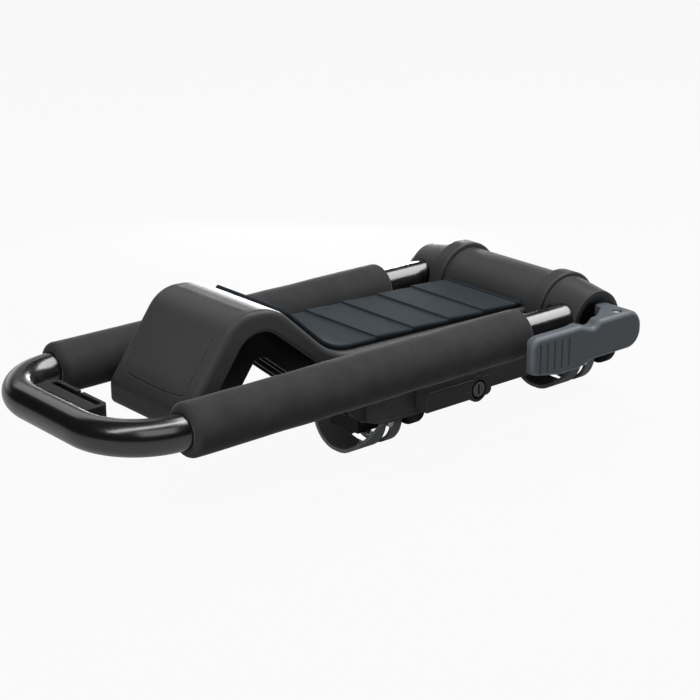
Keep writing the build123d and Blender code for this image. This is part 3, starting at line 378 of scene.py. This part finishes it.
def plated_steel(name, colour, roughness=0.32):
    """Zinc-plated steel: crystalline mottling and fine turning marks."""
    finish = Finish(name)
    where = finish.place()
    spangle = finish.cells(where, scale=420.0, output="Color")
    brushed = finish.noise(finish.place((2400.0, 2400.0, 160.0)), scale=1.0, detail=2.0)
    rounded = finish.soft_edge(0.3 * MM)
    grey = finish.node("ShaderNodeRGBToBW", None, {"Color": spangle})
    mottle = grey * 0.5 + brushed * 0.3
    return finish.surface({
        "Base Color": finish.blend(mottle, toned(colour, 0.75), colour),
        "Metallic": 1.0,
        "Roughness": roughness + swing(grey, 0.12),
        "Normal": finish.bump(brushed, distance=0.01 * MM, strength=0.5, normal=rounded),
    })


def give(node_names, material):
    """Put the material on CAD nodes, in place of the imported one."""
    for name in node_names:
        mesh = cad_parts[name].data
        mesh.materials.clear()
        mesh.materials.append(material)


def mesh_piece(name, vertices, faces, material, body):
    """New piece at the origin, riding on a body: quads shaded smooth, end caps flat."""
    mesh = bpy.data.meshes.new(name)
    mesh.from_pydata(vertices.tolist(), [], faces)
    corners = np.array([len(face) for face in faces])
    mesh.polygons.foreach_set("use_smooth", corners == 4)
    mesh.update()
    mesh.materials.append(material)
    piece = bpy.data.objects.new(name, mesh)
    bpy.context.scene.collection.objects.link(piece)
    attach(piece, body)
    return piece


def grid_faces(rows, columns, wrap_rows=False, wrap_columns=False):
    """Quads of a grid whose vertex (i, j) has the index i * columns + j.

    Each quad's normal points along (the way j grows) x (the way i grows).
    """
    i = np.arange(rows if wrap_rows else rows - 1)
    j = np.arange(columns if wrap_columns else columns - 1)
    i, j = np.meshgrid(i, j, indexing="ij")
    down, right = (i + 1) % rows, (j + 1) % columns
    quads = [i * columns + j, i * columns + right, down * columns + right, down * columns + j]
    return np.stack(quads, axis=-1).reshape(-1, 4).tolist()


def turned_over(faces):
    """The same faces, seen from their other side."""
    return [face[::-1] for face in faces]


def round_angles(count):
    """Evenly spread angles once round, without the last, which is the first again."""
    return np.linspace(0, FULL_TURN, count, endpoint=False)


def arc(centre, radius, start, stop, count):
    """Points on a circle from one angle to another, in degrees, both ends included."""
    angle = np.linspace(math.radians(start), math.radians(stop), count)
    across = centre[0] + radius * np.cos(angle)
    return np.stack([across, centre[1] + radius * np.sin(angle)], axis=-1)


def sleeve_surface(
    low, high, bore, outer, rounding, wave, around=112, along=190, ends=14, inner=12,
):
    """Foam sleeve about the Y axis: a closed section (rounded ends, outside, bore), turned round.

    r(u, y) = section radius + wave * share * (ripple - offset), where the ripple is the sum of
    strength * sin(turns * u + pace * y + phase) and the share fades to 0 at the bore, so that
    the outside swells and dips as soft foam does.
    """
    front = arc((low + rounding, outer - rounding), rounding, 180, 90, ends)
    rear = arc((high - rounding, outer - rounding), rounding, 90, 0, ends)
    straight = np.linspace(low + rounding, high - rounding, along)[1:-1]
    top = np.stack([straight, np.full(along - 2, outer)], -1)
    bottom = np.stack([np.linspace(high, low, inner), np.full(inner, bore)], -1)
    section = np.concatenate([front, top, rear, bottom])
    y, u = section[:, 0][:, None], round_angles(around)[None, :]
    share = (section[:, 1][:, None] - bore) / (outer - bore)
    ripple = sum(
        strength * np.sin(turns * u + pace * y + phase)
        for strength, turns, pace, phase in FOAM_RIPPLES
    )
    radius = section[:, 1][:, None] + wave * share * (ripple - RIPPLE_OFFSET)
    y = np.broadcast_to(y, radius.shape)
    points = np.stack([radius * np.cos(u), y, radius * np.sin(u)], -1)
    return points.reshape(-1, 3), turned_over(grid_faces(len(section), around, True, True))


def groove_ring_surface(centre, ring, thick, around=72, across=20):
    """Round ring about the X axis: a circle of radius thick carried round one of radius ring."""
    u, v = np.meshgrid(round_angles(around), round_angles(across), indexing="ij")
    radius = ring + thick * np.cos(v)
    points = np.stack([thick * np.sin(v), radius * np.cos(u), radius * np.sin(u)], -1)
    points = points + np.array(centre)
    return points.reshape(-1, 3), turned_over(grid_faces(around, across, True, True))


def mark_surface(centre, radius, height, around=28, rings=9, top=6.0):
    """Low dome that faces +X: at angle a, a ring has radius * sin(a) and stands at height * cos(a).

    The angle goes from top, in degrees, to the quarter turn. A last ring goes straight back
    into what carries the dome.
    """
    angle = np.linspace(math.radians(top), QUARTER_TURN, rings)
    u = round_angles(around)
    out = np.append(height * np.cos(angle), -height)[:, None]
    wide = np.append(radius * np.sin(angle), radius)[:, None]
    out = np.broadcast_to(out, (rings + 1, around))
    points = np.stack([out, wide * np.cos(u), wide * np.sin(u)], -1)
    faces = turned_over(grid_faces(rings + 1, around, False, True))
    faces.append(list(range(around)))
    faces.append(list(range((rings + 1) * around - 1, rings * around - 1, -1)))
    return (points + np.array(centre)).reshape(-1, 3), faces


def valley_path(slope, fall, corner, climb, radius):
    """Line under the pad: down the hump's rear slope, round the valley's arc, along the deck.

    Returns a function of s, the length along that line, which gives its points (y, z) and
    normals, and the s at which the deck would meet the slope. Slope and deck meet at the
    corner, so each is tangent to the arc at radius * tan(turn / 2) from there.
    """
    turn = slope - fall
    tangent = radius * math.tan(turn / 2)
    straight = climb / math.cos(slope) - tangent
    bend = radius * turn
    start = np.array(corner) + climb * np.array([-1.0, math.tan(slope)])
    downhill = np.array([math.cos(slope), -math.sin(slope)])
    first = np.array([math.sin(slope), math.cos(slope)])

    def at(s):
        heading = slope - np.clip((s - straight) / radius, 0.0, turn)
        along = np.stack([np.cos(heading), -np.sin(heading)], -1)
        up = np.stack([np.sin(heading), np.cos(heading)], -1)
        on_slope = np.clip(s, 0.0, straight)[:, None] * downhill
        on_arc = radius * (first - up) * np.where(s > straight, 1.0, 0.0)[:, None]
        on_deck = np.clip(s - straight - bend, 0.0, None)[:, None] * along
        return start + on_slope + on_arc + on_deck, up

    return at, straight + bend - tangent


def stepped_height(length, first, pitch, thick, rise, nose, groove, flat_points=90, nose_points=7):
    """Side view of the pad as points (s, h): flat, then treads that fall from rise to nothing.

    Each tread starts with a riser whose nose is a quarter circle, and ends in a narrow groove.
    Close pairs of points beside each edge keep the flats flat when they are shaded smooth.
    """
    edges = np.append(np.arange(first, length - 2 * nose, pitch), length)
    turn = np.linspace(0.0, QUARTER_TURN, nose_points)
    flat = np.linspace(0.0, first - 3 * groove, flat_points)
    share = np.array([0.04, 0.2, 0.4, 0.6, 0.8, 0.9])
    dip = thick - groove / 2
    rows = [np.stack([flat, np.full(flat_points, thick)], -1)]
    for low, high in zip(edges[:-1], edges[1:]):
        rows.append(np.array([
            (low - 1.2 * groove, thick), (low - groove, thick),
            (low - 0.8 * groove, dip), (low, dip),
        ]))
        nose_height = thick + rise - nose * (1 - np.sin(turn))
        rows.append(np.stack([low + nose * (1 - np.cos(turn)), nose_height], -1))
        s = low + nose + share * (high - low - nose - 2 * groove)
        rows.append(np.stack([s, thick + rise * (high - s) / (high - low)], -1))
    return np.concatenate(rows)


def pad_surface(
    half_width, rear, slope, fall, corner, climb, radius, steps, edge, front_corner,
    end_points=8, round_points=7, flat_points=17,
):
    """Stepped pad: point (i, j) is station i of the side view with point j of a rounded section.

    The section goes up one side, over the top and down the other; its height is the side view's
    h, its half width narrows along a quarter circle at the front, and h drops along a quarter
    circle at both ends. Each station stands on the valley line's normal.
    """
    at, offset = valley_path(slope, fall, corner, climb, radius)
    length = offset + (rear - corner[0]) / math.cos(fall)
    first, pitch, thick, rise, nose, groove = steps
    side = stepped_height(length, offset + first, pitch, thick, rise, nose, groove)
    ends = edge * (1 - np.cos(np.linspace(0.0, QUARTER_TURN, end_points)))
    corners = np.linspace(edge, front_corner, end_points)[1:]
    stations = np.concatenate([ends, corners, side[:, 0], length - ends])
    stations = np.unique(np.round(stations[stations <= length], 7))
    height = np.interp(stations, side[:, 0], side[:, 1], right=thick)
    inside = np.clip(np.minimum(stations, length - stations), 0.0, edge)
    height = height - edge + np.sqrt(edge ** 2 - (edge - inside) ** 2)
    near_front = np.clip(stations, 0.0, front_corner)
    narrowed = np.sqrt(front_corner ** 2 - (front_corner - near_front) ** 2)
    half = half_width - front_corner + narrowed
    quarter = np.linspace(0.0, QUARTER_TURN, round_points)
    rounding, fading = 1 - np.cos(quarter), 1 - np.sin(quarter)
    wall = np.ones(round_points + 1)
    across = np.concatenate([-wall, np.linspace(-0.96, 0.96, flat_points), wall])
    inset = np.concatenate([[0.0], rounding, np.ones(flat_points), rounding[::-1], [0.0]])
    drop = np.concatenate([[1.0], fading, np.zeros(flat_points), fading[::-1], [1.0]])
    lift = np.ones(len(across))
    lift[[0, -1]] = 0.0
    on_wall = np.where(np.abs(across) == 1.0, inset, 0.0)
    x = across * half[:, None] - np.sign(across) * on_wall * edge
    h = lift * (height[:, None] - drop * edge)
    points, up = at(stations)
    y = points[:, :1] + up[:, :1] * h
    z = points[:, 1:] + up[:, 1:] * h
    rows, columns = x.shape
    faces = grid_faces(rows, columns, False, True)
    faces.append(list(range(columns - 1, -1, -1)))
    faces.append(list(range((rows - 1) * columns, rows * columns)))
    return np.stack([x, y, z], -1).reshape(-1, 3), faces


def size_property(name, description, millimetres):
    return FloatProperty(
        name=name, description=description, default=millimetres * MM, unit="LENGTH",
    )


def angle_property(name, description, degrees):
    return FloatProperty(
        name=name, description=description, default=math.radians(degrees), subtype="ANGLE",
    )


def colour_property(name, description, value):
    return FloatVectorProperty(
        name=name, description=description, subtype="COLOR", default=value, min=0.0, max=1.0,
    )


class CarrierSizes(bpy.types.PropertyGroup):
    """Sizes of the pieces made here."""

    pad_thick: size_property("Pad thickness", "Pad's thickness at the foot of each tread", 4.2)
    pad_rise: size_property("Step height", "Height of each tread's front edge", 1.5)
    pad_pitch: size_property("Step pitch", "From one tread to the next", 37.0)
    pad_flat: size_property("Pad flat", "From the foot of the slope to the first tread", 43.1)
    pad_nose: size_property("Tread nose", "Radius of each tread's front edge", 0.6)
    pad_groove: size_property("Tread groove", "Width of the groove under each nose", 0.8)
    pad_edge: size_property("Pad edge", "Radius of the pad's edges", 1.2)
    pad_corner: size_property("Pad corner", "Radius of the pad's front corners", 4.0)
    valley_radius: size_property("Valley radius", "Between the hump's slope and the deck", 50.0)
    rear_slope: angle_property("Rear slope", "Of the hump above the level", 42.0)
    deck_fall: angle_property("Deck fall", "Of the deck towards the hinge", 1.4)
    pad_climb: size_property("Pad climb", "Pad's front edge ahead of the slope's foot", 43.5)
    deck_front: size_property("Deck height", "Height of the slope's foot", 82.8)
    # The ring in the lock's groove is painted shade: near black, standing in for the groove's
    # shadow
    groove_ring_thick: size_property(
        "Shade ring thickness", "Half the thickness of the seal round the key cylinder", 0.7,
    )
    groove_ring_gap: size_property("Shade ring gap", "From the key cylinder to the middle of the seal", 0.9)
    groove_ring_sink: size_property("Shade ring sink", "Middle of the seal below the lock box's face", 0.9)
    mark_set: size_property("Mark place", "From the key cylinder's middle to the lock mark", 11.5)
    mark_size: size_property("Mark size", "Radius of the lock mark", 0.8)
    foam_round: size_property("Foam end radius", "Rounding of the foam sleeves' ends", 5.0)
    foam_wave: size_property("Foam wave", "How far the foam's surface swells and dips", 0.12)
    foam_gap: size_property("Foam gap", "From the tube to the foam's bore", 0.2)


class CarrierColours(bpy.types.PropertyGroup):
    """Colours of the finishes."""

    moulding: colour_property(
        "Moulding", "Base, collars, knuckles and lock box", (0.055, 0.055, 0.057),
    )
    pad: colour_property("Deck pad", "Slate rubber of the stepped pad", (0.030, 0.0365, 0.0425))
    saddle: colour_property("Saddles", "Black rubber of the bar saddles", (0.028, 0.028, 0.028))
    strap: colour_property("Straps", "Grey of the clamp straps", (0.2, 0.207, 0.215))
    tube: colour_property("Arm tube", "Gloss black coat of the bent arm", (0.006, 0.006, 0.0065))
    foam: colour_property("Foam", "Charcoal of the foam sleeves", (0.045, 0.045, 0.0455))
    lever: colour_property("Lever", "Grey of the cam lever", (0.098, 0.112, 0.124))
    steel: colour_property("Steel", "Plated screws, pins, rod and bolts", (0.5, 0.51, 0.53))


class CarrierStage(bpy.types.PropertyGroup):
    """Camera, floor and light."""

    lens: FloatProperty(name="Lens", description="Focal length", default=93.24, unit="CAMERA")
    eye: FloatVectorProperty(
        name="Camera place", description="Where the camera stands", subtype="TRANSLATION",
        default=(0.995386, -0.968896, 0.516987), unit="LENGTH",
    )
    azimuth: angle_property("Azimuth", "Camera's turn about the upright axis", 49.46)
    elevation: angle_property("Elevation", "Camera's rise above the horizon", 19.13)
    floor: colour_property("Floor", "Pale floor", (0.26, 0.26, 0.26))
    sky: FloatProperty(
        name="Sky", description="Strength of the even light from all round", default=0.06, min=0.0,
    )


class CarrierSettings(bpy.types.PropertyGroup):
    """All settings of the dressed carrier."""

    sizes: PointerProperty(type=CarrierSizes)
    colours: PointerProperty(type=CarrierColours)
    stage: PointerProperty(type=CarrierStage)


class CARRIER_OT_mouldings(bpy.types.Operator):
    """Grained black plastic on the base, hinge collars, knuckles, lock box and strap guide"""

    bl_idname = "carrier.mouldings"
    bl_label = "Dress Mouldings"

    def execute(self, context):
        colour = colour_of(settings().colours.moulding)
        give(["base_body"], moulded("base_moulding", colour, 0.33, shaded=arch_web))
        black = moulded("black_moulding", toned(colour, 0.92), 0.33, edge=1.5 * MM)
        give(["near_collar", "far_collar", "near_knuckle", "far_knuckle", "lock_housing"], black)
        give(["strap_guide"], moulded("guide_plastic", toned(colour, 0.3), 0.48))
        return {"FINISHED"}


class CARRIER_OT_rubbers(bpy.types.Operator):
    """Slate rubber on the stepped deck pad, black rubber on the saddles and friction discs"""

    bl_idname = "carrier.rubbers"
    bl_label = "Dress Rubbers"

    def execute(self, context):
        colours = settings().colours
        slate = rubber("slate_rubber", colour_of(colours.pad), 0.74)
        sizes = settings().sizes
        low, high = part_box("deck_pad")
        foot = (low.y + sizes.pad_climb, sizes.deck_front)
        steps = (
            sizes.pad_flat, sizes.pad_pitch, sizes.pad_thick,
            sizes.pad_rise, sizes.pad_nose, sizes.pad_groove,
        )
        vertices, faces = pad_surface(
            high.x, high.y, sizes.rear_slope, sizes.deck_fall, foot, sizes.pad_climb,
            sizes.valley_radius, steps, sizes.pad_edge, sizes.pad_corner,
        )
        piece = mesh_piece("stepped_pad", vertices, faces, slate, "base")
        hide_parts("deck_pad")
        black = rubber("black_rubber", colour_of(colours.saddle), 0.62)
        give(["front_saddle", "rear_saddle", "friction_discs"], black)
        return {"FINISHED"}


class CARRIER_OT_arm(bpy.types.Operator):
    """Gloss black coat on the bent arm tube"""

    bl_idname = "carrier.arm"
    bl_label = "Dress Arm"

    def execute(self, context):
        give(["arm_tube"], coated_tube("black_tube", colour_of(settings().colours.tube)))
        return {"FINISHED"}


class CARRIER_OT_sleeves(bpy.types.Operator):
    """Soft foam sleeves on the arm's two legs"""

    bl_idname = "carrier.sleeves"
    bl_label = "Make Foam Sleeves"

    def execute(self, context):
        sizes = settings().sizes
        foam = closed_cell_foam("charcoal_foam", colour_of(settings().colours.foam))
        tube_low, tube_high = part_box("arm_tube")
        bore = (tube_high.z - tube_low.z) / 2 + sizes.foam_gap
        for side in ("near", "far"):
            low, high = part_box(f"{side}_foam")
            centre = (low + high) / 2
            outer = (high.z - low.z) / 2
            vertices, faces = sleeve_surface(
                low.y, high.y, bore, outer, sizes.foam_round, sizes.foam_wave,
            )
            vertices = vertices + np.array([centre.x, 0.0, centre.z])
            piece = mesh_piece(f"{side}_sleeve", vertices, faces, foam, "arm")
            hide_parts(f"{side}_foam")
        return {"FINISHED"}


class CARRIER_OT_lever(bpy.types.Operator):
    """Grey grained plastic on the cam lever"""

    bl_idname = "carrier.lever"
    bl_label = "Dress Lever"

    def execute(self, context):
        colour = colour_of(settings().colours.lever)
        give(["cam_lever"], rimmed_plastic("grey_lever", colour, 0.44))
        return {"FINISHED"}


class CARRIER_OT_straps(bpy.types.Operator):
    """Grey coat on the clamp straps"""

    bl_idname = "carrier.straps"
    bl_label = "Dress Straps"

    def execute(self, context):
        colour = colour_of(settings().colours.strap)
        # The straps' recesses get a milder painted shade
        give(["front_strap", "rear_strap"], moulded("strap_coat", colour, 0.42, recess_shade_tone=0.8))
        return {"FINISHED"}


class CARRIER_OT_hardware(bpy.types.Operator):
    """Plated steel on screws, pins, rod, springs and bolts, and satin metal on the key cylinder"""

    bl_idname = "carrier.hardware"
    bl_label = "Dress Hardware"

    def execute(self, context):
        colour = colour_of(settings().colours.steel)
        steel = plated_steel("plated_steel", colour)
        give([
            "strap_pins", "hook_bolts", "hook_nuts", "lock_screws", "lock_tongue", "rod_insert",
            "disc_springs", "guide_rivets", "leg_screws",
        ], steel)
        give(["lever_pin"], plated_steel("bright_steel", toned(colour, 1.7), 0.5))
        black = plated_steel("blackened_steel", toned(colour, 0.07), 0.4)
        give(["tie_rod", "thrust_plate"], black)
        make_lock_trim()
        give(["lock_cylinder"], plated_steel("key_metal", toned(colour, 0.22), 0.3))
        return {"FINISHED"}


def make_lock_trim():
    """Near-black ring in the groove round the key cylinder, painted shade that stands in for the
    groove's shadow, and the small mark beside it.
    """
    sizes = settings().sizes
    colours = settings().colours
    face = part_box("lock_housing")[1].x
    low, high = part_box("lock_cylinder")
    middle = (low + high) / 2
    # Near-black ring: painted shade standing in for the shadow in the groove
    shade_ring = rubber("groove_shade_black", toned(colours.saddle, 0.15), 0.5)
    place = (face - sizes.groove_ring_sink, middle.y, middle.z)
    ring = (high.y - low.y) / 2 + sizes.groove_ring_gap
    vertices, faces = groove_ring_surface(place, ring, sizes.groove_ring_thick)
    mesh_piece("lock_groove_shade", vertices, faces, shade_ring, "base")
    place = (face, middle.y - sizes.mark_set, middle.z)
    vertices, faces = mark_surface(place, sizes.mark_size, sizes.mark_size / MARK_FLATNESS)
    pale = moulded("pale_mark", toned(colours.moulding, 2.4), 0.5)
    mesh_piece("lock_mark", vertices, faces, pale, "base")


class CARRIER_OT_stage(bpy.types.Operator):
    """Pale floor, soft studio light and the camera"""

    bl_idname = "carrier.stage"
    bl_label = "Set Stage"

    def execute(self, context):
        stage = settings().stage
        make_floor(stage)
        make_sky(stage)
        make_lights()
        make_camera(stage)
        context.scene.view_settings.view_transform = "Standard"
        return {"FINISHED"}


def make_floor(stage):
    """Flat square just under the straps: white to the camera, with the object's soft shadow.

    Reflections show it at FLOOR_IN_GLOSS of that brightness.
    """
    level = CAD_BOX[0].z - FLOOR_DROP
    corners = [
        (x * FLOOR_REACH, y * FLOOR_REACH, level) for x, y in ((-1, -1), (1, -1), (1, 1), (-1, 1))
    ]
    finish = Finish("pale_floor")
    paint = finish.node("ShaderNodeBsdfDiffuse", None, {"Color": colour_of(stage.floor)})
    glow = finish.node("ShaderNodeEmission", None, {"Color": WHITE, "Strength": 1.0})
    mirrored = finish.light_path("Is Glossy Ray") * FLOOR_IN_GLOSS
    seen = finish.light_path("Is Camera Ray").larger(mirrored)
    seen = seen.larger(finish.light_path("Is Transmission Ray"))
    mixed = finish.node("ShaderNodeMixShader", None, {0: seen * FLOOR_GLOW, 1: paint, 2: glow})
    finish.node("ShaderNodeOutputMaterial", None, {"Surface": mixed})
    mesh = bpy.data.meshes.new("floor")
    mesh.from_pydata(corners, [], [(0, 1, 2, 3)])
    mesh.materials.append(finish.material)
    floor = bpy.data.objects.new("floor", mesh)
    bpy.context.scene.collection.objects.link(floor)


def make_sky(stage):
    """White world to the camera, a low white backdrop in reflections, dim light elsewhere."""
    world = bpy.data.worlds.new("studio")
    bpy.context.scene.world = world
    world.use_nodes = True
    nodes = Nodes(world.node_tree)
    towards = nodes.node("ShaderNodeTexCoord", output="Generated")
    along = nodes.dot(towards, tuple(Vector(BACKDROP_AIM).normalized()))
    height = nodes.part(towards, "Z")
    backdrop = nodes.ramp(along, *BACKDROP_SPREAD) * nodes.ramp(height, *BACKDROP_TOP)
    clear = nodes.light_path("Is Camera Ray").larger(nodes.light_path("Is Transmission Ray"))
    mirrored = nodes.light_path("Is Glossy Ray")
    level = clear.larger(mirrored * backdrop).larger(stage.sky * (1.0 - mirrored))
    light = nodes.node("ShaderNodeBackground", None, {"Color": WHITE, "Strength": level})
    nodes.node("ShaderNodeOutputWorld", None, {"Surface": light})


def make_lights():
    """Soft boxes behind and left, a strip above, a panel beside the hump, a fill, a front panel."""
    for name, place, aim, (width, height), power, mirrored in LAMPS:
        data = bpy.data.lights.new(name, "AREA")
        data.shape = "RECTANGLE"
        data.size = width
        data.size_y = height
        data.energy = power
        lamp = bpy.data.objects.new(name, data)
        lamp.location = place
        lamp.rotation_euler = (Vector(aim) - Vector(place)).to_track_quat("-Z", "Y").to_euler()
        lamp.visible_camera = False
        lamp.visible_glossy = mirrored
        bpy.context.scene.collection.objects.link(lamp)


def make_camera(stage):
    """Camera at the photograph's angle, looking straight along its azimuth and elevation."""
    data = bpy.data.cameras.new("camera")
    data.sensor_width = SENSOR_WIDTH
    data.lens = stage.lens
    data.clip_start = NEAR_CLIP
    camera = bpy.data.objects.new("camera", data)
    camera.location = stage.eye
    flat = math.cos(stage.elevation)
    back = Vector((
        math.sin(stage.azimuth) * flat, -math.cos(stage.azimuth) * flat, math.sin(stage.elevation),
    ))
    camera.rotation_euler = (-back).to_track_quat("-Z", "Y").to_euler()
    bpy.context.scene.collection.objects.link(camera)
    bpy.context.scene.camera = camera


class CARRIER_PT_panel(bpy.types.Panel):
    """Settings and steps of the dressed carrier"""

    bl_label = "Kayak Carrier"
    bl_space_type = "VIEW_3D"
    bl_region_type = "UI"
    bl_category = "Carrier"

    def draw(self, context):
        groups = context.scene.carrier
        for group in (groups.sizes, groups.colours, groups.stage):
            for name in group.__annotations__:
                self.layout.prop(group, name)
        for operator in OPERATORS:
            self.layout.operator(operator.bl_idname)


OPERATORS = (
    CARRIER_OT_mouldings, CARRIER_OT_rubbers, CARRIER_OT_arm, CARRIER_OT_sleeves, CARRIER_OT_lever,
    CARRIER_OT_straps, CARRIER_OT_hardware, CARRIER_OT_stage,
)
GROUPS = (CarrierSizes, CarrierColours, CarrierStage, CarrierSettings)
CLASSES = (*GROUPS, *OPERATORS, CARRIER_PT_panel)


def register():
    for cls in CLASSES:
        bpy.utils.register_class(cls)
    bpy.types.Scene.carrier = PointerProperty(type=CarrierSettings)


def unregister():
    del bpy.types.Scene.carrier
    for cls in reversed(CLASSES):
        bpy.utils.unregister_class(cls)


def main():
    register()
    for operator in OPERATORS:
        group, name = operator.bl_idname.split(".")
        getattr(getattr(bpy.ops, group), name)()


if __name__ == "__main__":
    main()
